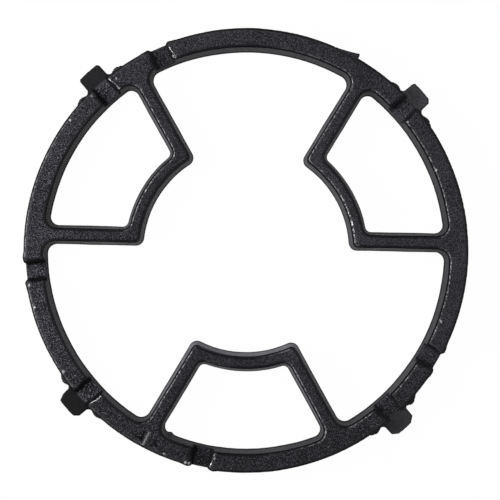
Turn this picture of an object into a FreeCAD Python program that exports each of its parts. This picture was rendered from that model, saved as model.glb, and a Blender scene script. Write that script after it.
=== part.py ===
import FreeCAD, Part
import math
import os

# Cast iron wok ring, one casting, lying with its notched hob side up.
# Millimetres, +Z up. Origin at the centre of the ring on its flat pan side, which is the plane z = 0.
# Angles are in degrees, counter-clockwise from +X seen from above.

V = FreeCAD.Vector
AXIS_Z = V(0, 0, 1)

# Main body: a flat round band whose outer wall leans in toward the pan side
HEIGHT = 15.0
OUTER_RADIUS = 120.0
OUTER_LEAN = 1.1
EDGE_ROUND_OUTER = 2.2
EDGE_BREAK_BOTTOM = 0.4

# How far a cutting form reaches past the face that it opens
CUT_CLEARANCE = 0.5

# Inner wall of the band: the opening is wider on the hob side than on the pan side
BAND_WIDTH_TOP = 9.5
BAND_INNER_LEAN = 2.4
BAND_INNER_TOP = OUTER_RADIUS - BAND_WIDTH_TOP
BAND_INNER_BOTTOM = BAND_INNER_TOP - BAND_INNER_LEAN

# The upper edges of the openings are worn round, as an arc of this radius in this many flats
EDGE_ROUND_OPENING = 1.4
EDGE_ROUND_FLATS = 4

# Three open frames that reach in from the band: two straight bars and one arc bar each.
# The arc bar lies concentric with the band. Its inner wall is this far inside the band's outer edge on
# the pan side, and its width is measured there too.
FRAME_ANGLES = [28.7, 148.75, 268.75]
ARC_INNER_DEPTH = [63.8, 64.0, 64.5]
ARC_BAR_WIDTH = [10.0, 10.1, 10.4]
ARC_WALL_LEAN = 2.15
# Each bar runs at this angle to its frame's axis. Its outer base line passes the ring's centre at the
# first distance and its width on the pan side is the second, counter-clockwise bar and clockwise bar.
BAR_SPREAD_ANGLE = 29.85
LEFT_BAR_OFFSET = [0.37, 1.19, 0.14]
LEFT_BAR_WIDTH = [10.18, 10.21, 10.41]
RIGHT_BAR_OFFSET = [1.19, 0.18, 0.44]
RIGHT_BAR_WIDTH = [10.16, 10.12, 10.56]
BAR_WALL_LEAN = 1.9

# Corner radii in plan on the pan side, and how much each grows or shrinks toward the hob side
WINDOW_BAND_CORNER = 4.5
WINDOW_ARC_CORNER = 3.2
ROOT_CORNER = 5.2
TIP_CORNER = 4.5
TIP_CORNER_LEAST = 0.3
CORNER_GROWTH = 1.9

# Notches for the hob's support fingers
NOTCH_ANGLES = [41.8, 113.5, 131.3, 185.45, 221.8, 257.85, 312.1, 329.95]
NOTCH_DEPTH = 7.5
NOTCH_WIDTH_TOP = 11.0
NOTCH_WIDTH_FLOOR = 9.3
NOTCH_FLOOR_CORNER = 0.9
NOTCH_EDGE_BREAK = 0.6
NOTCH_CUT_INSIDE = 6.5
NOTCH_CUT_OUTSIDE = 8.0

# Locating lugs outside four of the notches, a small step below the notch floors. Left is
# counter-clockwise.
LUG_ANGLES = [41.6, 131.6, 221.6, 311.6]
LUG_LEFT_SIDE = [7.3, 6.5, 6.8, 7.9]
LUG_RIGHT_SIDE = [5.9, 6.8, 7.6, 6.8]
LUG_REACH = [8.5, 9.0, 9.4, 9.1]
LUG_LEFT_CHAMFER_ACROSS = [0.7, 0.9, 2.2, 3.2]
LUG_LEFT_CHAMFER_OUT = [0.9, 0.9, 2.2, 2.2]
LUG_RIGHT_CHAMFER_ACROSS = [1.8, 0.9, 1.6, 3.0]
LUG_RIGHT_CHAMFER_OUT = [1.5, 0.9, 3.4, 2.1]
LUG_STEP = 0.3
LUG_HEIGHT = HEIGHT - NOTCH_DEPTH - LUG_STEP
LUG_SEAT_DEPTH = 6.5
LUG_FOOT_REACH = 3.1
LUG_FOOT_BEND_REACH = 1.4
LUG_FOOT_BEND_OUT = 0.45
LUG_SIDE_TAPER = 0.15
LUG_TIP_CROWN = 0.25
LUG_EDGE_BREAK = 0.5

# Low shoulders beside each lug: distance across from the lug's axis, and rise over the outer radius.
# The shares say how far each shoulder stands out compared with that rise.
SHOULDER_ACROSS = [9.5, 10.8, 12.6, 15.0, 17.8, 20.6]
SHOULDER_RISE = [0.7, 1.25, 1.7, 1.15, 0.0, -1.3]
LEFT_SHOULDER_SHARE_RATIO = [1.0, 1.0, 0.9, 1.6]
RIGHT_SHOULDER_SHARE_RATIO = [1.0, 1.1, 1.25, 1.15]

# Proud wedge of metal left on the outer edge of the hob side: distance across from its axis and rise
# over the outer radius
FIN_ANGLE = 62.0
FIN_THICKNESS = 4.0
FIN_TOP_GAP = 0.5
FIN_ACROSS = [4.8, 4.7, 4.6, 4.1, 2.6, -1.0, -5.0, -9.6, -9.6]
FIN_RISE = [-4.0, 0.6, 1.6, 2.5, 2.0, 1.1, 0.3, -0.6, -4.0]


def local_point(axis_degrees, across, out, z=0.0):
    # across grows clockwise and out grows away from the centre, both measured on the given axis
    angle = math.radians(axis_degrees)
    x = out * math.cos(angle) + across * math.sin(angle)
    y = out * math.sin(angle) - across * math.cos(angle)
    return V(x, y, z)


def mix(pair, share):
    return pair[0] + (pair[1] - pair[0]) * share


def arc_edge(centre, radius, start, end):
    # the shorter arc of a circle between two points on it
    middle = (start + end) * 0.5 - centre
    middle.normalize()
    return Part.Arc(start, centre + middle * radius, end).toShape()


def frames():
    # one description of each frame, with radii from the ring's centre
    listed = []
    for index, angle in enumerate(FRAME_ANGLES):
        listed.append({
            "angle": angle,
            "arc_inner": OUTER_RADIUS - ARC_INNER_DEPTH[index],
            "arc_outer": OUTER_RADIUS - ARC_INNER_DEPTH[index] + ARC_BAR_WIDTH[index],
            "bars": [
                (-1, LEFT_BAR_OFFSET[index], LEFT_BAR_OFFSET[index] + LEFT_BAR_WIDTH[index]),
                (1, RIGHT_BAR_OFFSET[index], RIGHT_BAR_OFFSET[index] + RIGHT_BAR_WIDTH[index]),
            ],
        })
    return listed


def level_values(z, flare=0.0):
    share = z / HEIGHT
    growth = CORNER_GROWTH * share + flare
    return {
        "z": z,
        "band": mix((BAND_INNER_BOTTOM, BAND_INNER_TOP), share) + flare,
        "arc_lean": ARC_WALL_LEAN * share + flare,
        "bar_lean": BAR_WALL_LEAN * share + flare,
        "window_band": WINDOW_BAND_CORNER + growth,
        "window_arc": WINDOW_ARC_CORNER + growth,
        "root": ROOT_CORNER + growth,
        "tip": max(TIP_CORNER - growth, TIP_CORNER_LEAST),
    }


def bar_point(frame_angle, side, along, beside, z):
    # side is -1 for the counter-clockwise bar and 1 for the clockwise bar; along runs outward on the bar
    # and beside grows away from the frame's own window
    spread = math.radians(BAR_SPREAD_ANGLE)
    across = along * math.sin(spread) + beside * math.cos(spread)
    out = along * math.cos(spread) - beside * math.sin(spread)
    return local_point(frame_angle, side * across, out, z)


def on_circle(centre, radius, z):
    flat = V(centre.x, centre.y, 0)
    flat.normalize()
    return V(flat.x * radius, flat.y * radius, z)


def window_wire(frame, values):
    frame_angle = frame["angle"]
    z = values["z"]
    origin = V(0, 0, z)
    arc_radius = frame["arc_outer"] - values["arc_lean"]
    points = {}
    for side, outer_line, inner_line in frame["bars"]:
        line = inner_line - values["bar_lean"]
        radius = values["window_band"]
        beside = -(line + radius)
        along = math.sqrt((values["band"] - radius) ** 2 - beside ** 2)
        centre = bar_point(frame_angle, side, along, beside, z)
        on_bar = bar_point(frame_angle, side, along, -line, z)
        points[side, "band"] = (centre, on_circle(centre, values["band"], z), on_bar)
        radius = values["window_arc"]
        beside = -(line + radius)
        along = math.sqrt((arc_radius + radius) ** 2 - beside ** 2)
        centre = bar_point(frame_angle, side, along, beside, z)
        on_bar = bar_point(frame_angle, side, along, -line, z)
        points[side, "arc"] = (centre, on_circle(centre, arc_radius, z), on_bar)
    left_band = points[-1, "band"]
    right_band = points[1, "band"]
    left_arc = points[-1, "arc"]
    right_arc = points[1, "arc"]
    edges = [
        arc_edge(origin, values["band"], left_band[1], right_band[1]),
        arc_edge(right_band[0], values["window_band"], right_band[1], right_band[2]),
        Part.makeLine(right_band[2], right_arc[2]),
        arc_edge(right_arc[0], values["window_arc"], right_arc[2], right_arc[1]),
        arc_edge(origin, arc_radius, right_arc[1], left_arc[1]),
        arc_edge(left_arc[0], values["window_arc"], left_arc[1], left_arc[2]),
        Part.makeLine(left_arc[2], left_band[2]),
        arc_edge(left_band[0], values["window_band"], left_band[2], left_band[1]),
    ]
    return Part.Wire(edges)


def centre_wire(values):
    z = values["z"]
    origin = V(0, 0, z)
    edges = []
    corners = []
    for frame in reversed(frames()):
        frame_angle = frame["angle"]
        arc_radius = frame["arc_inner"] + values["arc_lean"]
        for side, outer_line, inner_line in frame["bars"]:
            line = outer_line + values["bar_lean"]
            radius = values["root"]
            beside = -line + radius
            along = math.sqrt((values["band"] - radius) ** 2 - beside ** 2)
            centre = bar_point(frame_angle, side, along, beside, z)
            on_bar = bar_point(frame_angle, side, along, -line, z)
            root = (centre, radius, on_circle(centre, values["band"], z), on_bar)
            radius = values["tip"]
            beside = -line - radius
            along = math.sqrt((arc_radius + radius) ** 2 - beside ** 2)
            centre = bar_point(frame_angle, side, along, beside, z)
            on_bar = bar_point(frame_angle, side, along, -line, z)
            tip = (centre, radius, on_circle(centre, arc_radius, z), on_bar)
            corners.append((side, root, tip, arc_radius))
    count = len(corners)
    for index in range(count):
        side, root, tip, arc_radius = corners[index]
        following = corners[(index + 1) % count]
        if side == -1:
            edges.append(arc_edge(root[0], root[1], root[2], root[3]))
            edges.append(Part.makeLine(root[3], tip[3]))
            edges.append(arc_edge(tip[0], tip[1], tip[3], tip[2]))
            edges.append(arc_edge(origin, arc_radius, tip[2], following[2][2]))
        else:
            edges.append(arc_edge(tip[0], tip[1], tip[2], tip[3]))
            edges.append(Part.makeLine(tip[3], root[3]))
            edges.append(arc_edge(root[0], root[1], root[3], root[2]))
            edges.append(arc_edge(origin, values["band"], root[2], following[1][2]))
    return Part.Wire(edges)


def drafted_opening(wire_at):
    # broken edge on the pan side, the drafted wall, and the rounded edge on the hob side
    low = EDGE_BREAK_BOTTOM
    levels = [
        level_values(-CUT_CLEARANCE, low + CUT_CLEARANCE),
        level_values(low),
    ]
    for step in range(EDGE_ROUND_FLATS + 1):
        turn = math.radians(90.0 * step / EDGE_ROUND_FLATS)
        drop = EDGE_ROUND_OPENING * (1 - math.sin(turn))
        flare = EDGE_ROUND_OPENING * (1 - math.cos(turn))
        levels.append(level_values(HEIGHT - drop, flare))
    levels.append(level_values(HEIGHT + CUT_CLEARANCE, EDGE_ROUND_OPENING))
    return Part.makeLoft([wire_at(values) for values in levels], True, True)


def ring_blank():
    round_top = EDGE_ROUND_OUTER
    low = EDGE_BREAK_BOTTOM
    bottom_radius = OUTER_RADIUS - OUTER_LEAN
    middle = round_top * (1 - math.sqrt(0.5))
    p_axis_low = V(0, 0, 0)
    p_low = V(bottom_radius - low, 0, 0)
    p_low_side = V(bottom_radius, 0, low)
    p_side = V(OUTER_RADIUS, 0, HEIGHT - round_top)
    p_round = V(OUTER_RADIUS - middle, 0, HEIGHT - middle)
    p_top = V(OUTER_RADIUS - round_top, 0, HEIGHT)
    p_axis_top = V(0, 0, HEIGHT)
    edges = [
        Part.makeLine(p_axis_low, p_low),
        Part.makeLine(p_low, p_low_side),
        Part.makeLine(p_low_side, p_side),
        Part.Arc(p_side, p_round, p_top).toShape(),
        Part.makeLine(p_top, p_axis_top),
        Part.makeLine(p_axis_top, p_axis_low),
    ]
    return Part.Face(Part.Wire(edges)).revolve(V(0, 0, 0), AXIS_Z, 360)


def notch_cutter(angle):
    # a slot with leaning side walls, a rounded floor corner and a broken upper edge
    half_top = NOTCH_WIDTH_TOP / 2
    half_floor = NOTCH_WIDTH_FLOOR / 2
    floor = HEIGHT - NOTCH_DEPTH
    wall = V(half_top - half_floor, 0, NOTCH_DEPTH)
    wall.normalize()
    corner = V(half_floor, 0, floor)
    lean = math.acos(wall.z)
    setback = NOTCH_FLOOR_CORNER * math.tan((math.pi / 2 - lean) / 2)
    on_floor = corner - V(setback, 0, 0)
    on_wall = corner + wall * setback
    centre = on_floor + V(0, 0, NOTCH_FLOOR_CORNER)
    middle = (on_floor + on_wall) * 0.5 - centre
    middle.normalize()
    mid_arc = centre + middle * NOTCH_FLOOR_CORNER
    edge_break = NOTCH_EDGE_BREAK
    below_top = V(half_top - edge_break * wall.x, 0, HEIGHT - edge_break)
    reach = edge_break + CUT_CLEARANCE
    above_top = below_top + V(reach, 0, reach)
    right = [on_floor, mid_arc, on_wall, below_top, above_top]
    left = [V(-p.x, 0, p.z) for p in right]
    edges = [
        Part.makeLine(left[0], right[0]),
        Part.Arc(right[0], right[1], right[2]).toShape(),
        Part.makeLine(right[2], right[3]),
        Part.makeLine(right[3], right[4]),
        Part.makeLine(right[4], left[4]),
        Part.makeLine(left[4], left[3]),
        Part.makeLine(left[3], left[2]),
        Part.Arc(left[2], left[1], left[0]).toShape(),
    ]
    start = BAND_INNER_TOP - NOTCH_CUT_INSIDE
    finish = OUTER_RADIUS + NOTCH_CUT_OUTSIDE
    cutter = Part.Face(Part.Wire(edges)).extrude(V(0, finish - start, 0))
    cutter.translate(V(0, start, 0))
    cutter.rotate(V(0, 0, 0), AXIS_Z, angle - 90)
    return cutter


def shoulder_points(axis_degrees, side, strength, z, inset):
    points = []
    for across, rise in zip(SHOULDER_ACROSS, SHOULDER_RISE):
        radius = OUTER_RADIUS + rise * strength - inset
        out = math.sqrt(radius ** 2 - across ** 2)
        points.append(local_point(axis_degrees, side * across, out, z))
    return points


def lug_wire(index, z, inset):
    axis = LUG_ANGLES[index]
    left = inset - LUG_LEFT_SIDE[index]
    right = LUG_RIGHT_SIDE[index] - inset
    tip = OUTER_RADIUS + LUG_REACH[index] - inset
    last = SHOULDER_ACROSS[-1]
    out_left = shoulder_points(axis, -1, LEFT_SHOULDER_SHARE_RATIO[index], z, inset)
    out_right = shoulder_points(axis, 1, RIGHT_SHOULDER_SHARE_RATIO[index], z, inset)
    curve_left = Part.BSplineCurve()
    curve_left.interpolate(list(reversed(out_left)))
    curve_right = Part.BSplineCurve()
    curve_right.interpolate(out_right)
    foot = OUTER_RADIUS + LUG_FOOT_REACH - inset
    bend = OUTER_RADIUS + LUG_FOOT_BEND_REACH - inset
    seat = OUTER_RADIUS - LUG_SEAT_DEPTH
    base_left = local_point(axis, left, foot, z)
    base_right = local_point(axis, right, foot, z)
    bend_left = local_point(axis, left - LUG_FOOT_BEND_OUT, bend, z)
    bend_right = local_point(axis, right + LUG_FOOT_BEND_OUT, bend, z)
    side_left = local_point(axis, left + LUG_SIDE_TAPER, tip - LUG_LEFT_CHAMFER_OUT[index], z)
    side_right = local_point(axis, right - LUG_SIDE_TAPER, tip - LUG_RIGHT_CHAMFER_OUT[index], z)
    top_left = local_point(axis, left + LUG_LEFT_CHAMFER_ACROSS[index], tip, z)
    top_right = local_point(axis, right - LUG_RIGHT_CHAMFER_ACROSS[index], tip, z)
    top_middle = local_point(axis, (left + right) / 2, tip + LUG_TIP_CROWN, z)
    seat_left = local_point(axis, -last, seat, z)
    seat_right = local_point(axis, last, seat, z)
    edges = [
        Part.makeLine(seat_left, out_left[-1]),
        curve_left.toShape(),
        Part.Arc(out_left[0], bend_left, base_left).toShape(),
        Part.makeLine(base_left, side_left),
        Part.makeLine(side_left, top_left),
        Part.Arc(top_left, top_middle, top_right).toShape(),
        Part.makeLine(top_right, side_right),
        Part.makeLine(side_right, base_right),
        Part.Arc(base_right, bend_right, out_right[0]).toShape(),
        curve_right.toShape(),
        Part.makeLine(out_right[-1], seat_right),
        Part.makeLine(seat_right, seat_left),
    ]
    return Part.Wire(edges)


def lug(index):
    # a lug and its shoulders, with the upper edge broken
    levels = [
        lug_wire(index, 0.0, 0.0),
        lug_wire(index, LUG_HEIGHT - LUG_EDGE_BREAK, 0.0),
        lug_wire(index, LUG_HEIGHT, LUG_EDGE_BREAK),
    ]
    return Part.makeLoft(levels, True, True)


def fin():
    z_low = HEIGHT - FIN_TOP_GAP - FIN_THICKNESS
    corners = []
    for across, rise in zip(FIN_ACROSS, FIN_RISE):
        corners.append(local_point(FIN_ANGLE, across, OUTER_RADIUS + rise, z_low))
    wire = Part.makePolygon(corners + [corners[0]])
    return Part.Face(wire).extrude(V(0, 0, FIN_THICKNESS))


def wok_ring():
    body = ring_blank()
    openings = [drafted_opening(centre_wire)]
    for frame in frames():
        openings.append(drafted_opening(lambda values, f=frame: window_wire(f, values)))
    body = body.cut(openings)
    body = body.fuse([lug(index) for index in range(len(LUG_ANGLES))] + [fin()])
    body = body.cut([notch_cutter(angle) for angle in NOTCH_ANGLES])
    body = body.removeSplitter()
    return body.Solids[0] if len(body.Solids) == 1 else body


os.makedirs("parts", exist_ok=True)
ring = wok_ring()
if not ring.isValid() or len(ring.Solids) != 1:
    raise RuntimeError("the casting is not one valid solid: %d solids" % len(ring.Solids))
ring.exportStep("parts/wok_ring.step")
box = ring.optimalBoundingBox(True)
print("faces", len(ring.Faces), "volume_cm3", round(ring.Volume / 1000, 1))
print("box", [round(v, 2) for v in (box.XMin, box.XMax, box.YMin, box.YMax, box.ZMin, box.ZMax)])
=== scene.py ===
import bpy
import math
import numpy as np
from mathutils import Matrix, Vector, kdtree


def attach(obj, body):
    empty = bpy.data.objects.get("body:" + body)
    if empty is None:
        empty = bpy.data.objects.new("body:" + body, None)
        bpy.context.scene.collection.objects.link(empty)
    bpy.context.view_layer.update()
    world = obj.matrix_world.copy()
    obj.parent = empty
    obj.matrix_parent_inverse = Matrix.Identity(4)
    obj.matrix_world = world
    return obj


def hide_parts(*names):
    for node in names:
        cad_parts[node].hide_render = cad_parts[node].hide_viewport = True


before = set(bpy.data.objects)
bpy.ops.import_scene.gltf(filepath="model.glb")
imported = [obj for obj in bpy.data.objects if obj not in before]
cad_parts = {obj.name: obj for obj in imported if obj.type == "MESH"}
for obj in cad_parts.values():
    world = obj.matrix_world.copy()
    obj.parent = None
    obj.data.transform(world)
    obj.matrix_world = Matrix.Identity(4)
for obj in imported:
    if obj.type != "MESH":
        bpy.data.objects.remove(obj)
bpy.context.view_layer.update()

# the casting, in millimetres, and in degrees from +X toward +Y
# a pair of limits runs from where a thing starts to where it is full, and four limits on to where it ends
MM = 0.001
HEIGHT = 15.0
OUTER_RADIUS = 120.0
OUTER_ZONE = 115.0
BAND_ZONE = 100.0
BAR_ZONE = (66.0, 70.0, 98.0, 106.0)
ARC_OUTER_SIDE = 70.0
ARC_MIDDLE = 61.0
NOTCH_FLOOR = 7.5
FLOOR_HALF_WIDTH = 5.0
FLOOR_HIGHEST = 8.5
FLOOR_REACH = 120.3
LUG_TOP = 7.2
LUG_HIGHEST = 7.8
LUG_START = (120.0, 120.6)
LUG_SIDES = (9.2, 8.2)
# angle, side that is worn and carries the heavier painted shade, strength of that painted shade, tone of the
# floor
NOTCHES = [
    (41.8, -1, 0.58, 1.66),
    (113.5, -1, 0.62, 1.20),
    (131.3, -1, 0.82, 1.42),
    (185.45, 1, 0.80, 1.20),
    (221.8, 1, 0.85, 1.75),
    (257.85, 1, 0.82, 1.40),
    (312.1, 1, 0.52, 1.42),
    (329.95, 1, 0.52, 1.20),
]
TWICE_SHADED = [185.45]
PLAIN_NOTCHES = [113.5, 185.45, 257.85, 329.95]
# angle, tone of the top: painted reflection making the right lug tops paler, painted shade making the left
# ones darker
LUGS = [(41.6, 1.85), (131.6, 0.31), (221.6, 0.24), (311.6, 1.45)]

# the skin's mesh: its spacing across the faces and down the sides
GRID = 0.64
SIDE_GRID = 2.4
OCTREE_DEPTH = 9

# relief, each row with a step of the seed, a size and a height
SEED = 41
WAVE = (0, 26.0, 0.16)
SWELL = (1, 9.0, 0.07)
LUMP = (2, 4.2, 0.035)
GRAIN = (3, 1.9, 0.036)
BURR = (5, 2.3, 0.25)
# ragged edges of the painted shade on the notch walls
FINE_SHADE_RAGGEDNESS = (7, 1.7, 0.35)
WIDE_SHADE_RAGGEDNESS = (8, 4.0, 0.5)
SIDE_LUMP_SHARE = 0.5
SIDE_GRAIN_SHARE = 0.15
FLAT_SWELL_SHARE = 0.4
FLATNESS = (0.5, 0.95)
SIDE_SKIN = 0.12
OUTER_SKIN = 0.27
OUTER_SKIN_START = 117.0

# where the sand skin is: slopes and levels of the flat faces
TOP_SLOPES = (0.92, 0.985)
TOP_LEVELS = (13.8, 14.5)
FLAT_SLOPES = (0.80, 0.96)
FLOOR_LEVELS = (7.28, 7.42)

# worn edges of the openings
EDGE_WEAR = 2.1
ARC_WEAR = 0.4
WALL_RISE = 0.3
WALL_LEVELS = (7.5, 13.8)

# worn notch rims, given across and out from the notch's axis
RIM_WEAR = 0.7
RIM_WEAR_REACH = (7.6, 5.2)
RIM_WEAR_START = 4.0
UPPER_ZONE = 13.0
BESIDE_NOTCH = (4.0, 4.6, 7.0, 8.0)
# notch rims given brighter bare metal for glints, on the edges that face the key lamp: partly a painted
# highlight
GLINT_RIMS = [(113.5, 1), (131.3, 1), (221.8, -1), (257.85, -1)]
GLINT_RIM_PLACE = 5.9
GLINT_RIM_WIDTH = (1.6, 1.0)
GLINT_RIM_LENGTH = (110.2, 111.2, 118.2, 119.2)
GLINT_LOWEST = 12.5

# burrs beside the plain notches
BURR_SIDES = (5.1, 6.1, 7.5, 11.5)
BURR_EDGE = (118.6, 119.8)
BURR_LEVELS = (10.0, 13.5)
BURR_REACH = 0.42

# mark where the runner was broken off, given across and out from its axis
GATE_AXIS = 243.0
STROKE_CORE = 0.4
GATE_RIDGE = ((2.0, 111.3), (2.1, 118.7), 0.55)
GATE_RIDGE_HEIGHT = 0.35
GATE_RIDGE_PALENESS = 0.5
GATE_NICKS = [
    ((4.6, 112.2), (3.6, 117.4), 0.9),
    ((4.2, 116.0), (7.8, 116.8), 0.8),
    ((-3.6, 113.2), (-2.2, 116.8), 0.8),
    ((-3.6, 114.8), (-4.9, 116.4), 0.7),
]
GATE_NICK_DEPTH = 0.45
GATE_NICK_SHADE = 0.8
GATE_LUMP = (-8.6, 108.0)
GATE_LUMP_SPREAD = 2.2
GATE_LUMP_REACH = 1.1
GATE_LUMP_HIGHEST = 8.0

# pale spots on the upper edges: angle, radius
PALE_SPOTS = [(127, 116.4), (143.5, 118.4), (135, 118), (189, 118.7), (195, 118.5), (213.5, 118.3),
         (248, 118.3), (254, 119), (255, 119), (23, 111.5), (38.5, 111.7), (340, 112)]
PALE_SPOT_SIZE = (0.62, 0.35)
PALE_SPOT_LOWEST = 12.0

# painted shade on the notch walls, heavier on each notch's side away from the light
THIN_NOTCH_SHADE = (3.6, 4.5, 5.2, 5.9)
THICK_NOTCH_SHADE = (2.7, 4.1, 5.5, 6.5)
NOTCH_SHADE_LEVELS = (6.9, 7.2)
NOTCH_SHADE_REACH = 120.8

# bare metal placed for glints, partly a painted highlight: the turn of the arc with brighter metal, and the
# shares of the shine lost on the other edges
GLINT_ARC_TURN = (7.0, 14.0, 26.0, 32.0)
GLINT_ARC_SHARE = 0.45
OUTER_EDGE_LOSS = 0.12
END_EDGE_LOSS = 0.6
END_EDGES = (50.0, 100.0)
BESIDE_NOTCH_LOSS = 0.75

# contrast of the sand skin's grain round the ring, stretched most on the left as painted raking light
GRAIN_STRETCH_LEAST = 0.87
GRAIN_STRETCH_LEFT = 0.52
GRAIN_STRETCH_LOWER_LEFT = 0.26
GRAIN_STRETCH_TOP = 0.20
GRAIN_STRETCH_BOTTOM = 0.62
LEFT_REACH = (-20.0, -115.0)
LOWER_LEFT_REACH = (0.0, -35.0)
TOP_REACH = (50.0, 100.0)
BOTTOM_REACH = (-50.0, -100.0)

# painted light and shade on the opening walls
WALL_SLOPES = (0.9, 0.3)
WALL_TONE = 0.13
CENTRE_TONE = 0.55
CENTRE_REACH = (106.0, 66.0)
LOWEST_FRAME = (-30.0, -52.0)
LOWEST_ARC_INSIDE = 2.3
LOWEST_ARC_OUTSIDE = 1.0
UPPER_FRAMES = -30.0
UPPER_ARC_SHADE = 0.16
BAND_LOWER_TONE = 0.1
BAND_LOWER_REACH = (-20.0, -60.0)
BAND_ENDS_TONE = 0.07
BAND_ENDS_REACH = (20.0, 70.0)
UPPER_LEFT_SHADE = 0.38
UPPER_LEFT_ACROSS = (-70.0, -100.0)
UPPER_LEFT_UPWARD = (-30.0, 10.0)
BAR_TONE = 0.85
BAR_LEVELS = (5.0, 10.0)
LEFTWARD = (0.2, 0.8)
LEFTWARD_BAR_TONE = 0.15
LOWEST_BAR_TONE = 0.85
LOWEST_BARS = (-30.0, -50.0)

# painted light on the flat faces, falling off from the left: amount, axis along which it changes, and where it
# starts and is full
PAINTED_FACE_FALLOFF = [
    (0.14, 0, 20.0, -110.0),
    (-0.08, 0, 30.0, 100.0),
    (-0.11, 1, 40.0, 115.0),
    (-0.34, 1, -30.0, -115.0),
]
FRAME_REACH = (100.0, 70.0)
FRAME_SHADE = 0.02
LEFT_FRAME_SHADE = 0.26
LEFT_FRAMES = (30.0, -10.0)

# levels of the painted shade under each upper edge and at the foot of the walls
RIM_DEPTH = (2.6, 1.5)
LOW_RIM_DEPTH = 1.2
LOW_RIM_HALF_WIDTH = 5.2
LOW_RIM_HIGHEST = 8.2
LUG_RIM_START = 120.5
RAGGEDNESS = 0.8
FOOT_LEVELS = (1.4, 5.0)
FOOT_SHADE = 0.85

# slopes and facings of the painted edge shade and of the bare metal placed for glints
EDGE_SHADE = (0.64, 0.93)
EDGE_SHINE = (0.77, 0.84, 0.92, 0.96)
EDGE_DARKNESS = 0.95
BRIGHT_SIDES = (0.02, 0.24)
LESS_SHADED_SIDES = (0.05, 0.45)
LESS_SHADED_SHARE = 0.38
TURNED_AWAY_SHADE = 0.75
BESIDE_NOTCH_SHADE_LOSS = 0.8

# colours
# tones of the sand skin's grain; the palest stop stands in for glints off the grain, a painted highlight
FACE_TONES = [
    (0.41, (0.0073, 0.0069, 0.0091, 1)),
    (0.66, (0.0865, 0.0835, 0.1000, 1)),
    (0.76, (0.2400, 0.2350, 0.2650, 1)),
]
SIDE_TONES = [(0.36, (0.0165, 0.0162, 0.0180, 1)), (0.66, (0.0560, 0.0548, 0.0622, 1))]
CLOUD_TONES = [(0.35, (0.84, 0.84, 0.85, 1)), (0.68, (1.14, 1.14, 1.14, 1))]
# colour of the painted shade
PAINTED_SHADE_TONE = (0.0040, 0.0040, 0.0046, 1)
# bare metal put where the key lamp's glints fall, partly a painted highlight
GLINT_IRON = (0.2000, 0.2000, 0.2060, 1)
BRIGHTER_GLINT_IRON = (0.8000, 0.8000, 0.8100, 1)
PALE_SPOT_TONE = (0.6200, 0.6200, 0.6400, 1)

# textures: scale, detail, roughness
GRAIN_NOISE = (1650.0, 2.5, 0.6)
CLOUD_NOISE = (70.0, 3.0, 0.55)
MICRO_NOISE = (3200.0, 2.0, 0.5)
# breaks the placed glints into dashes
GLINT_BREAKUP_NOISE = (700.0, 3.0, 0.65)
GRAIN_MIDDLE = 0.52
GLINT_BREAKUP_LIMITS = (0.44, 0.60)
METAL_SHARE = 0.95
GLOSS = 0.14
DULLNESS = 0.9
SIDE_ROUGHNESS = 0.74
FACE_ROUGHNESS = 0.60
SHINE_SMOOTHNESS = 0.30
DARK_ROUGHNESS = 0.4
SIDE_BUMP = 0.15
COARSE_BUMP = 1.0
FINE_BUMP = 0.06
FINE_BUMP_STRENGTH = 0.35

# ground, light and camera, in metres, watts and pixels
FLOOR_SIZE = 6.0
FLOOR_GAP = 0.0004
BACKDROP_FOOT = 0.01
BACKDROP_HEIGHT = 1.2
GROUND_COLOUR = (0.9, 0.9, 0.9, 1)
WHITE = (1, 1, 1, 1)
GROUND_GLOW = 0.985
SKY_STRENGTH = 0.18
# name, place, width, height, power
LAMPS = [
    ("key", (-0.66, 0.06, 0.46), 0.95, 0.12, 6.5),
    ("top", (0.03, 0.20, 1.05), 0.55, 0.55, 3.9),
    ("fill", (0.42, -0.52, 0.40), 1.60, 0.80, 1.2),
]
CAMERA_DISTANCE = 1.5
SENSOR_WIDTH = 36.0
PICTURE_PIXELS = 500
RADIUS_PIXELS = 222.1
SHIFT_PIXELS = (3.92, 0.55)
NODE_SPACING = 180


def smoothstep(start, full, values):
    # nothing at the start and one at the full value, whichever of the two is larger
    t = np.clip((values - start) / (full - start), 0.0, 1.0)
    return t * t * (3.0 - 2.0 * t)


def between(limits, values):
    # one between the two middle limits and nothing outside the outer two
    start, full, last, end = limits
    return smoothstep(start, full, values) * smoothstep(end, last, values)


def local_axes(degrees):
    # outward and clockwise unit vectors at an angle on the ring
    angle = math.radians(degrees)
    out = np.array([math.cos(angle), math.sin(angle)])
    across = np.array([math.sin(angle), -math.cos(angle)])
    return out, across


def seen_from(points, degrees):
    # distance across and out from an axis
    out, across = local_axes(degrees)
    u = points[:, 0] * across[0] + points[:, 1] * across[1]
    v = points[:, 0] * out[0] + points[:, 1] * out[1]
    return u, v


def from_centre(points):
    return np.hypot(points[:, 0], points[:, 1])


class Noise:
    # seeded gradient noise on a repeating lattice
    CELLS = 1024
    GAIN = 1.6

    def __init__(self, seed):
        rng = np.random.default_rng(seed)
        self.table = rng.permutation(self.CELLS)
        directions = rng.normal(size=(self.CELLS, 3))
        self.directions = directions / np.linalg.norm(directions, axis=1)[:, None]

    def at(self, points):
        cell = np.floor(points).astype(int)
        inside = points - cell
        fade = inside ** 3 * (inside * (inside * 6.0 - 15.0) + 10.0)
        total = np.zeros(len(points))
        for step in np.ndindex(2, 2, 2):
            corner = cell + step
            key = self.table[corner[:, 0] % self.CELLS]
            key = self.table[(key + corner[:, 1]) % self.CELLS]
            key = self.table[(key + corner[:, 2]) % self.CELLS]
            value = (self.directions[key] * (inside - step)).sum(axis=1)
            total += value * np.where(step, fade, 1.0 - fade).prod(axis=1)
        return total * self.GAIN


def layer(points, step, size, height):
    return Noise(SEED + step).at(points / size) * height


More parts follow.
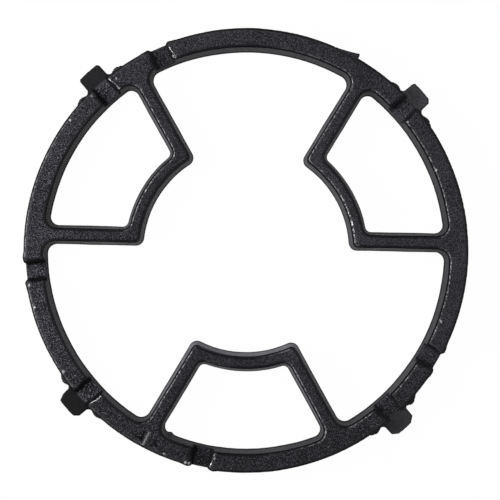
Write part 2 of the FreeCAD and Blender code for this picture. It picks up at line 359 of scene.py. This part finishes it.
def vertex_values(mesh, name):
    flat = np.empty(len(mesh.vertices) * 3)
    mesh.vertices.foreach_get(name, flat)
    return flat.reshape(-1, 3)


def write_points(mesh, points):
    mesh.vertices.foreach_set("co", points.ravel())
    mesh.update()


def evaluated_mesh(thing):
    graph = bpy.context.evaluated_depsgraph_get()
    return bpy.data.meshes.new_from_object(thing.evaluated_get(graph))


def linked_object(name, data):
    made = bpy.data.objects.new(name, data)
    bpy.context.scene.collection.objects.link(made)
    return made


def casting_skin():
    # fine even mesh over the casting's exact faces, wider down its tall plain sides than across them
    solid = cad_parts["wok_ring"]
    flattened = solid.data.copy()
    points = vertex_values(flattened, "co")
    points[:, 2] *= GRID / SIDE_GRID
    write_points(flattened, points)
    skin = linked_object("wok_ring_skin", flattened)
    remesh = skin.modifiers.new("even", "REMESH")
    remesh.mode = "SHARP"
    remesh.octree_depth = OCTREE_DEPTH
    remesh.scale = 2.0 * OUTER_RADIUS / (2 ** OCTREE_DEPTH * GRID)
    remesh.use_remove_disconnected = False
    mesh = evaluated_mesh(skin)
    points = vertex_values(mesh, "co")
    points[:, 2] *= SIDE_GRID / GRID
    write_points(mesh, points)
    skin.modifiers.clear()
    skin.data = mesh
    wrap = skin.modifiers.new("exact", "SHRINKWRAP")
    wrap.target = solid
    wrap.wrap_method = "NEAREST_SURFACEPOINT"
    mesh = evaluated_mesh(skin)
    skin.modifiers.clear()
    skin.data = mesh
    roughen(mesh)
    for polygon in mesh.polygons:
        polygon.use_smooth = True
    return skin


def roughen(mesh):
    # relief and wear of the casting, and what the material has to know of each place
    normals = vertex_values(mesh, "normal")
    points = eased_openings(vertex_values(mesh, "co") / MM, normals)
    inner = from_centre(points) < OUTER_ZONE
    sandy = sand_skin(points, normals)
    points = points + normals * relief(points, normals, sandy)[:, None]
    worn_rims(points)
    burrs(points)
    gate_mark(points)
    points[:, 2] = np.clip(points[:, 2], 0.0, None)
    write_points(mesh, points * MM)
    store(mesh, "sandy", sandy)
    store(mesh, "rim", rim_heights(points) * MM)
    store(mesh, "inner", inner)
    # what the material needs: painted shade, pale spots, bare metal for glints, and painted light and shade in
    # the tones
    store(mesh, "notch_shade_and_nicks", notch_shade_and_dark_nicks(points))
    store(mesh, "pale_spot", pale_spots(points))
    store(mesh, "glint_edge", glint_edges(points))
    store(mesh, "beside_notch", beside_notches(points))
    store(mesh, "tone_and_painted_light", tones_and_painted_light(points, normals))
    store(mesh, "glint_boost", brighter_glints(points))
    store(mesh, "grain_stretch", grain_contrast_by_place(points))


def store(mesh, name, values):
    attribute = mesh.attributes.new(name, "FLOAT", "POINT")
    attribute.data.foreach_set("value", values)


def eased_openings(points, normals):
    # the openings' upper edges are worn round with a wider sweep than the solid's
    radius = from_centre(points)
    height = points[:, 2]
    inside = radius < OUTER_ZONE
    wear = EDGE_WEAR + ARC_WEAR * (radius < ARC_MIDDLE)
    lowest, highest = WALL_LEVELS
    walls = inside & (np.abs(normals[:, 2]) < WALL_RISE) & (height > lowest) & (height < highest)
    # the walls are carried on up to the level where the worn edge starts
    spread = np.hypot(normals[walls, 0], normals[walls, 1])[:, None]
    climb = (HEIGHT - wear[walls] - height[walls])[:, None]
    edge = points[walls, :2] - normals[walls, :2] / spread * climb * normals[walls, 2:] / spread
    tree = kdtree.KDTree(len(edge))
    for index, place in enumerate(edge):
        tree.insert((place[0], place[1], 0.0), index)
    tree.balance()
    for index in np.flatnonzero(inside & (height > HEIGHT - wear)):
        gap = tree.find((points[index, 0], points[index, 1], 0.0))[2]
        reach = wear[index] - gap
        if reach > 0.0:
            worn = HEIGHT - wear[index] + math.sqrt(wear[index] ** 2 - reach ** 2)
            points[index, 2] = min(points[index, 2], worn)
    return points


def sand_skin(points, normals):
    # the flat faces: hob side, notch floors with the lug tops beside them, and pan side
    height = points[:, 2]
    slope = normals[:, 2]
    top = smoothstep(*TOP_SLOPES, slope) * smoothstep(*TOP_LEVELS, height)
    floor = smoothstep(*FLAT_SLOPES, slope) * smoothstep(*FLOOR_LEVELS, height)
    floor = floor * (height < FLOOR_HIGHEST) * (from_centre(points) < FLOOR_REACH)
    bottom = smoothstep(*FLAT_SLOPES, -slope)
    return np.clip(top + floor + bottom, 0.0, 1.0)


def relief(points, normals, sandy):
    wave = layer(points, *WAVE)
    swell = layer(points, *SWELL)
    lump = layer(points, *LUMP) * (SIDE_LUMP_SHARE + (1.0 - SIDE_LUMP_SHARE) * sandy)
    grain = layer(points, *GRAIN) * (SIDE_GRAIN_SHARE + (1.0 - SIDE_GRAIN_SHARE) * sandy)
    # the flat faces stay true, only their skin is rough
    flat = smoothstep(*FLATNESS, np.abs(normals[:, 2]))
    amount = wave + swell + lump + grain - (wave + FLAT_SWELL_SHARE * swell) * flat
    # the drafted sides and outer edges carry a thin scale over the exact faces
    outer = from_centre(points) > OUTER_SKIN_START
    return amount + (1.0 - flat) * (SIDE_SKIN + OUTER_SKIN * outer)


def worn_rims(points):
    # one upper rim of each notch is worn down in a soft slope
    for angle, side, _, _ in NOTCHES:
        u, v = seen_from(points, angle)
        beside = u * side
        slope = smoothstep(*RIM_WEAR_REACH, beside) * (beside > RIM_WEAR_START) * (v > BAND_ZONE)
        points[:, 2] -= RIM_WEAR * slope * (points[:, 2] > UPPER_ZONE)


def burrs(points):
    # thin ragged metal along the outer upper edge beside the plain notches
    ragged = BURR_REACH + layer(points, *BURR)
    for angle in PLAIN_NOTCHES:
        out, across = local_axes(angle)
        u, v = seen_from(points, angle)
        near = between(BURR_SIDES, np.abs(u)) * (v > 0)
        edge = smoothstep(*BURR_EDGE, np.hypot(u, v)) * smoothstep(*BURR_LEVELS, points[:, 2])
        points[:, :2] += (near * edge * ragged)[:, None] * out


def stroke(points, start, end, width):
    # closeness to a line on the hob side, given across and out from the runner's axis
    u, v = seen_from(points, GATE_AXIS)
    along = np.subtract(end, start)
    share = ((u - start[0]) * along[0] + (v - start[1]) * along[1]) / (along @ along)
    share = np.clip(share, 0.0, 1.0)
    distance = np.hypot(u - start[0] - share * along[0], v - start[1] - share * along[1])
    return smoothstep(width, STROKE_CORE * width, distance) * (points[:, 2] > UPPER_ZONE)


def gate_nicks(points):
    return [stroke(points, *nick) for nick in GATE_NICKS]


def gate_mark(points):
    # where the runner was broken off: a low ridge with ragged nicks on both sides
    points[:, 2] += GATE_RIDGE_HEIGHT * stroke(points, *GATE_RIDGE)
    for nick in gate_nicks(points):
        points[:, 2] -= GATE_NICK_DEPTH * nick
    # small lump hanging on the inner edge of the band
    out, across = local_axes(GATE_AXIS)
    u, v = seen_from(points, GATE_AXIS)
    distance = np.hypot(u - GATE_LUMP[0], v - GATE_LUMP[1])
    near = np.exp(-distance ** 2 / GATE_LUMP_SPREAD) * (points[:, 2] < GATE_LUMP_HIGHEST)
    points[:, :2] -= GATE_LUMP_REACH * near[:, None] * out


def rim_heights(points):
    # the upper edge that each point belongs to: the ring's own, a notch floor's or a lug's
    height = points[:, 2]
    total = np.full(len(points), HEIGHT)
    lift = RIM_DEPTH[0] - LOW_RIM_DEPTH
    for angle, _, _, _ in NOTCHES:
        u, v = seen_from(points, angle)
        near = (np.abs(u) < LOW_RIM_HALF_WIDTH) & (v > BAND_ZONE) & (height < LOW_RIM_HIGHEST)
        total[near] = NOTCH_FLOOR + lift
    total[(from_centre(points) > LUG_RIM_START) & (height < LUG_HIGHEST)] = LUG_TOP + lift
    return total


def notch_shade_and_dark_nicks(points):
    # painted shade on the notch walls, heavier on each notch's side away from the light, and darkened nicks
    # where the runner was broken off
    ragged = layer(points, *FINE_SHADE_RAGGEDNESS) + layer(points, *WIDE_SHADE_RAGGEDNESS)
    level = smoothstep(*NOTCH_SHADE_LEVELS, points[:, 2])
    total = GATE_NICK_SHADE * np.maximum.reduce(gate_nicks(points))
    for angle, shaded_side, shade, _ in NOTCHES:
        u, v = seen_from(points, angle)
        thick = (u * shaded_side > 0) | (angle in TWICE_SHADED)
        limits = [np.where(thick, wide, narrow) for wide, narrow in zip(THICK_NOTCH_SHADE, THIN_NOTCH_SHADE)]
        wall = shade * between(limits, np.abs(u) + ragged) * level
        total = np.maximum(total, wall * (v > BAND_ZONE) * (v < NOTCH_SHADE_REACH))
    return total


def pale_spots(points):
    # pale spots on the upper edges at the listed places, and a pale stroke along the ridge where the runner
    # was broken off
    total = GATE_RIDGE_PALENESS * stroke(points, *GATE_RIDGE)
    for angle, radius in PALE_SPOTS:
        u, v = seen_from(points, angle)
        spot = smoothstep(*PALE_SPOT_SIZE, np.hypot(u, v - radius))
        total = np.maximum(total, spot * (points[:, 2] > PALE_SPOT_LOWEST))
    return total


def brighter_glints(points):
    # bare metal brightened for glints, partly a painted highlight: one arc's inner edge, and four notch rims
    # on one side of each notch, all facing the key lamp
    turn = np.degrees(np.arctan2(points[:, 1], points[:, 0]))
    upper = points[:, 2] > GLINT_LOWEST
    total = GLINT_ARC_SHARE * between(GLINT_ARC_TURN, turn) * (from_centre(points) < ARC_MIDDLE) * upper
    for angle, side in GLINT_RIMS:
        u, v = seen_from(points, angle)
        near = smoothstep(*GLINT_RIM_WIDTH, np.abs(u * side - GLINT_RIM_PLACE))
        total = np.maximum(total, near * between(GLINT_RIM_LENGTH, v) * upper)
    return total


def grain_contrast_by_place(points):
    # the grain's contrast is stretched most on the left of the ring, as painted raking light from the left,
    # and least on the right
    x = points[:, 0]
    y = points[:, 1]
    left = smoothstep(*LEFT_REACH, x)
    total = GRAIN_STRETCH_LEAST + GRAIN_STRETCH_LEFT * left + GRAIN_STRETCH_LOWER_LEFT * left * smoothstep(*LOWER_LEFT_REACH, y)
    ends = GRAIN_STRETCH_TOP * smoothstep(*TOP_REACH, y) + GRAIN_STRETCH_BOTTOM * smoothstep(*BOTTOM_REACH, y)
    return total + ends * (1.0 - left)


def glint_edges(points):
    # bare metal for glints, partly a painted highlight, is cut back beside the notches and at the top and
    # bottom of the outer rim
    outer = from_centre(points) > OUTER_ZONE
    ends = smoothstep(*END_EDGES, np.abs(points[:, 1]))
    total = 1.0 - outer * (OUTER_EDGE_LOSS + END_EDGE_LOSS * ends)
    return total * (1.0 - BESIDE_NOTCH_LOSS * beside_notches(points))


def beside_notches(points):
    total = np.zeros(len(points))
    for angle, _, _, _ in NOTCHES:
        u, v = seen_from(points, angle)
        total = np.maximum(total, between(BESIDE_NOTCH, np.abs(u)) * (v > BAND_ZONE))
    return total


def tones_and_painted_light(points, normals):
    # how pale each place is beside the plain iron: painted light and shade on the walls, faces and lug tops,
    # and paler notch floors
    radius = from_centre(points)
    height = points[:, 2]
    wall = smoothstep(*WALL_SLOPES, np.abs(normals[:, 2]))
    total = 1.0 + wall * painted_wall_light(points, normals) + (1.0 - wall) * painted_face_light(points)
    for angle, _, _, share in NOTCHES:
        u, v = seen_from(points, angle)
        near = (np.abs(u) < FLOOR_HALF_WIDTH) * (height < FLOOR_HIGHEST) * (radius < FLOOR_REACH)
        total = total * (1.0 + (share - 1.0) * near * (1.0 - wall) * (v > BAND_ZONE))
    # painted reflection on the right lug tops and painted shade on the left ones
    for angle, share in LUGS:
        u, v = seen_from(points, angle)
        near = smoothstep(*LUG_SIDES, np.abs(u)) * smoothstep(*LUG_START, v) * (height < LUG_HIGHEST)
        total = total * (1.0 + (share - 1.0) * near)
    return total


def painted_wall_light(points, normals):
    # painted light on the opening walls, for light thrown back from the pale floor: paler toward the ring's
    # centre, and palest on the lowest frame's arc
    x = points[:, 0]
    y = points[:, 1]
    radius = from_centre(points)
    arc_inside = radius < ARC_MIDDLE
    arc_outside = (radius > ARC_MIDDLE) & (radius < ARC_OUTER_SIDE)
    total = WALL_TONE + CENTRE_TONE * smoothstep(*CENTRE_REACH, radius)
    lowest = smoothstep(*LOWEST_FRAME, y)
    total = total + lowest * (LOWEST_ARC_INSIDE * arc_inside + LOWEST_ARC_OUTSIDE * arc_outside)
    total = total - UPPER_ARC_SHADE * arc_outside * (y > UPPER_FRAMES)
    # the band's own wall has painted light, a little paler at the top and bottom of the ring
    band = BAND_LOWER_TONE * smoothstep(*BAND_LOWER_REACH, y)
    band = band + BAND_ENDS_TONE * smoothstep(*BAND_ENDS_REACH, np.abs(y))
    total = total + band * (radius > BAND_ZONE)
    # and painted shade on the upper left
    upper_left = smoothstep(*UPPER_LEFT_ACROSS, x) * smoothstep(*UPPER_LEFT_UPWARD, y)
    total = total - UPPER_LEFT_SHADE * upper_left
    # painted light on the straight bars: paler up their walls, most on walls facing left toward the key lamp
    # and most of all on the lowest frame
    leftward = smoothstep(*LEFTWARD, -normals[:, 0])
    paler = BAR_TONE + leftward * (LEFTWARD_BAR_TONE + LOWEST_BAR_TONE * smoothstep(*LOWEST_BARS, y))
    return total + between(BAR_ZONE, radius) * paler * smoothstep(*BAR_LEVELS, points[:, 2])


def painted_face_light(points):
    # painted light on the faces: paler on the left toward the key lamp, darker at the right, top and bottom,
    # and darker on the frames
    falloff = [amount * smoothstep(start, full, points[:, axis]) for amount, axis, start, full in PAINTED_FACE_FALLOFF]
    frames = FRAME_SHADE + LEFT_FRAME_SHADE * smoothstep(*LEFT_FRAMES, points[:, 0])
    return sum(falloff) - frames * smoothstep(*FRAME_REACH, from_centre(points))


class Graph:
    # shader nodes of one material or world, each fed with numbers, colours or other nodes' outputs
    def __init__(self, owner):
        owner.use_nodes = True
        self.tree = owner.node_tree
        self.tree.nodes.clear()

    def add(self, kind, inputs=(), **settings):
        made = self.tree.nodes.new(kind)
        made.location = (NODE_SPACING * len(self.tree.nodes), 0)
        for name, value in settings.items():
            setattr(made, name, value)
        for key, value in dict(inputs).items():
            if isinstance(value, bpy.types.NodeSocket):
                self.tree.links.new(value, made.inputs[key])
            else:
                made.inputs[key].default_value = value
        return made

    def attribute(self, name):
        return self.add("ShaderNodeAttribute", attribute_name=name).outputs["Fac"]

    def maths(self, operation, *values, clamped=False):
        made = self.add("ShaderNodeMath", enumerate(values), operation=operation, use_clamp=clamped)
        return made.outputs["Value"]

    def ramp(self, value, limits, ends=(0.0, 1.0), kind="SMOOTHSTEP"):
        low, high = limits
        first, last = ends
        inputs = {"Value": value, "From Min": low, "From Max": high, "To Min": first, "To Max": last}
        return self.add("ShaderNodeMapRange", inputs, interpolation_type=kind).outputs["Result"]

    def between(self, value, limits):
        start, full, last, end = limits
        rising = self.ramp(value, (start, full))
        falling = self.ramp(value, (last, end), (1.0, 0.0))
        return self.maths("MULTIPLY", rising, falling)

    def noise(self, where, scale, detail, roughness):
        inputs = {"Vector": where, "Scale": scale, "Detail": detail, "Roughness": roughness}
        return self.add("ShaderNodeTexNoise", inputs).outputs["Fac"]

    def colours(self, value, stops):
        made = self.add("ShaderNodeValToRGB", {"Fac": value})
        elements = made.color_ramp.elements
        for index, (position, colour) in enumerate(stops):
            if index < 2:
                elements[index].position = position
                elements[index].color = colour
            else:
                elements.new(position).color = colour
        return made.outputs["Color"]

    def mix(self, share, first, second, blend="MIX"):
        inputs = {"Factor": share, "A": first, "B": second}
        made = self.add("ShaderNodeMix", inputs, data_type="RGBA", blend_type=blend)
        return made.outputs["Result"]


def cast_iron_material():
    # black cast iron: coarse sand skin on the flat faces, plainer drafted sides, painted shade and bare metal
    # placed for glints on the upper edges, and painted light and shade in the tones
    material = bpy.data.materials.new("cast_iron_as_cast")
    graph = Graph(material)
    space = graph.add("ShaderNodeTexCoord").outputs
    where = space["Object"]
    sandy = graph.attribute("sandy")
    glint_boost = graph.attribute("glint_boost")
    grain = graph.noise(where, *GRAIN_NOISE)
    # the grain's contrast is stretched about its middle by place, most on the left as painted raking light
    spread = graph.maths("SUBTRACT", grain, GRAIN_MIDDLE)
    sand = graph.maths("MULTIPLY_ADD", spread, graph.attribute("grain_stretch"), GRAIN_MIDDLE)
    dark, shine = painted_edge_shade_and_glints(graph, space, grain, glint_boost)

    face = graph.mix(sandy, graph.colours(grain, SIDE_TONES), graph.colours(sand, FACE_TONES))
    cloud = graph.colours(graph.noise(where, *CLOUD_NOISE), CLOUD_TONES)
    clouded = graph.mix(1.0, face, cloud, "MULTIPLY")
    # painted light and shade multiplied into the colour
    toned_and_lit = graph.mix(1.0, clouded, graph.attribute("tone_and_painted_light"), "MULTIPLY")
    # painted shade mixed into the colour
    edged = graph.mix(dark, toned_and_lit, PAINTED_SHADE_TONE)
    spotted = graph.mix(graph.attribute("pale_spot"), edged, PALE_SPOT_TONE)
    glint_breakup = graph.ramp(graph.noise(where, *GLINT_BREAKUP_NOISE), GLINT_BREAKUP_LIMITS, kind="LINEAR")
    metal = graph.maths("MULTIPLY", graph.maths("MULTIPLY", shine, glint_breakup), METAL_SHARE)
    glint_colour = graph.mix(glint_boost, GLINT_IRON, BRIGHTER_GLINT_IRON)

    rough = graph.ramp(sandy, (0.0, 1.0), (SIDE_ROUGHNESS, FACE_ROUGHNESS), "LINEAR")
    smooth = graph.ramp(shine, (0.0, 1.0), (0.0, SHINE_SMOOTHNESS), "LINEAR")
    worn = graph.maths("SUBTRACT", rough, smooth)
    strength = graph.ramp(sandy, (0.0, 1.0), (SIDE_BUMP, 1.0), "LINEAR")
    grain_stretch = graph.add("ShaderNodeBump", {
        "Distance": COARSE_BUMP * MM,
        "Strength": strength,
        "Height": sand,
    })
    fine = graph.add("ShaderNodeBump", {
        "Distance": FINE_BUMP * MM,
        "Strength": FINE_BUMP_STRENGTH,
        "Height": graph.noise(where, *MICRO_NOISE),
        "Normal": grain_stretch.outputs["Normal"],
    })
    shader = graph.add("ShaderNodeBsdfPrincipled", {
        "Base Color": graph.mix(metal, spotted, glint_colour),
        "Metallic": metal,
        "Roughness": graph.maths("MULTIPLY_ADD", dark, DARK_ROUGHNESS, worn, clamped=True),
        "Specular IOR Level": graph.maths("MULTIPLY_ADD", dark, -DULLNESS * GLOSS, GLOSS),
        "Normal": fine.outputs["Normal"],
    })
    graph.add("ShaderNodeOutputMaterial", {"Surface": shader.outputs["BSDF"]})
    return material


def painted_edge_shade_and_glints(graph, space, grain, glint_boost):
    # shares of painted shade and of bare metal placed for glints
    facing = graph.add("ShaderNodeSeparateXYZ", {"Vector": space["Normal"]}).outputs
    height = graph.add("ShaderNodeSeparateXYZ", {"Vector": space["Object"]}).outputs["Z"]
    ragged = graph.maths("MULTIPLY_ADD", grain, RAGGEDNESS * MM, height)
    level = graph.maths("ADD", ragged, -RAGGEDNESS * GRAIN_MIDDLE * MM)
    deepest, full = RIM_DEPTH

    # painted shade under the upper edges, where their turn faces away from the light, thinner on the sides
    # that face right
    less_shaded = graph.ramp(facing["X"], LESS_SHADED_SIDES)
    kept = graph.maths("MULTIPLY_ADD", less_shaded, -LESS_SHADED_SHARE, 1.0)
    below_rim = graph.maths("SUBTRACT", level, graph.attribute("rim"))
    beside_rim = graph.ramp(below_rim, (-deepest * MM, -full * MM))
    steep = graph.maths("SUBTRACT", 1.0, graph.ramp(facing["Z"], EDGE_SHADE))
    turned_in = graph.maths("MULTIPLY", steep, beside_rim)
    turned_in = graph.maths("MULTIPLY", graph.maths("MULTIPLY", turned_in, EDGE_DARKNESS), kept)

    # bare metal on the turn of the upper edges only on the sides that face left toward the key lamp, so that
    # its glint shows there: partly a painted highlight
    above_edge = graph.ramp(level, ((HEIGHT - deepest) * MM, (HEIGHT - full) * MM))
    turned_up = graph.maths("MULTIPLY", graph.between(facing["Z"], EDGE_SHINE), above_edge)
    leftward = graph.ramp(graph.maths("MULTIPLY", facing["X"], -1.0), BRIGHT_SIDES)
    glint_side = graph.maths("MULTIPLY", graph.attribute("glint_edge"), leftward)
    shine = graph.maths("MULTIPLY", turned_up, graph.maths("MAXIMUM", glint_side, glint_boost))

    # painted shade on the turn of the other sides, away from the key lamp, apart from beside the notches
    shaded_turn = graph.maths("MULTIPLY", graph.maths("SUBTRACT", turned_up, shine), TURNED_AWAY_SHADE)
    clear = graph.maths("MULTIPLY_ADD", graph.attribute("beside_notch"), -BESIDE_NOTCH_SHADE_LOSS, 1.0)
    shaded_turn = graph.maths("MULTIPLY", graph.maths("MULTIPLY", shaded_turn, kept), clear)

    # painted contact shade at the foot of the opening walls
    low, high = FOOT_LEVELS
    foot = graph.ramp(level, (low * MM, high * MM), (FOOT_SHADE, 0.0))
    foot = graph.maths("MULTIPLY", foot, graph.attribute("inner"))

    dark = graph.maths("MAXIMUM", turned_in, graph.attribute("notch_shade_and_nicks"))
    dark = graph.maths("MAXIMUM", graph.maths("MAXIMUM", dark, foot), shaded_turn)
    return dark, shine


def pale_material():
    # pale ground that reads white to the camera and in reflections, and still takes a soft shadow
    material = bpy.data.materials.new("pale_floor")
    graph = Graph(material)
    path = graph.add("ShaderNodeLightPath").outputs
    seen = graph.maths("MAXIMUM", path["Is Camera Ray"], path["Is Glossy Ray"])
    seen = graph.maths("MAXIMUM", seen, path["Is Transmission Ray"])
    diffuse = graph.add("ShaderNodeBsdfDiffuse", {"Color": GROUND_COLOUR})
    glow = graph.add("ShaderNodeEmission", {"Color": WHITE, "Strength": 1.0})
    mixed = graph.add("ShaderNodeMixShader", {
        "Fac": graph.maths("MULTIPLY", seen, GROUND_GLOW),
        1: diffuse.outputs["BSDF"],
        2: glow.outputs["Emission"],
    })
    graph.add("ShaderNodeOutputMaterial", {"Surface": mixed.outputs["Shader"]})
    return material


def ground(name, corners, faces, material):
    mesh = bpy.data.meshes.new(name)
    mesh.from_pydata(corners, [], faces)
    mesh.materials.append(material)
    return linked_object(name, mesh)


def studio():
    pale = pale_material()
    size = FLOOR_SIZE
    foot = [(-size, -size), (size, -size), (size, size), (-size, size)]
    floor = ground("floor", [(x, y, 0) for x, y in foot], [(0, 1, 2, 3)], pale)
    floor.location = (0, 0, -FLOOR_GAP)
    # low wall round the floor, so that the ground goes on pale to the top of a low view
    corners = [(x, y, z) for z in (-BACKDROP_FOOT, BACKDROP_HEIGHT) for x, y in foot]
    sides = [(0, 1, 5, 4), (1, 2, 6, 5), (2, 3, 7, 6), (3, 0, 4, 7)]
    backdrop = ground("backdrop", corners, sides, pale)

    world = bpy.data.worlds.new("studio")
    bpy.context.scene.world = world
    graph = Graph(world)
    soft = graph.add("ShaderNodeBackground", {"Color": WHITE, "Strength": SKY_STRENGTH})
    graph.add("ShaderNodeOutputWorld", {"Surface": soft.outputs["Background"]})

    for row in LAMPS:
        lamp(*row)


def lamp(name, place, across, upright, power):
    data = bpy.data.lights.new(name, "AREA")
    data.shape = "RECTANGLE"
    data.size = across
    data.size_y = upright
    data.energy = power
    made = linked_object(name, data)
    made.location = place
    aim = Vector((0, 0, 0)) - Vector(place)
    made.rotation_euler = aim.to_track_quat("-Z", "Y").to_euler()


def camera():
    # straight above the ring's centre, about a hundred heights away
    data = bpy.data.cameras.new("camera")
    made = linked_object("camera", data)
    picture_width = PICTURE_PIXELS * OUTER_RADIUS / RADIUS_PIXELS * MM
    data.sensor_fit = "HORIZONTAL"
    data.sensor_width = SENSOR_WIDTH
    data.lens = SENSOR_WIDTH * CAMERA_DISTANCE / picture_width
    data.shift_x = SHIFT_PIXELS[0] / PICTURE_PIXELS
    data.shift_y = SHIFT_PIXELS[1] / PICTURE_PIXELS
    made.location = (0, 0, HEIGHT * MM + CAMERA_DISTANCE)
    made.rotation_euler = (0, 0, 0)
    bpy.context.scene.camera = made


iron = cast_iron_material()
skin = casting_skin()
skin.data.materials.clear()
skin.data.materials.append(iron)
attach(skin, "root")
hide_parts("wok_ring")
studio()
camera()
bpy.context.scene.view_settings.view_transform = "Standard"
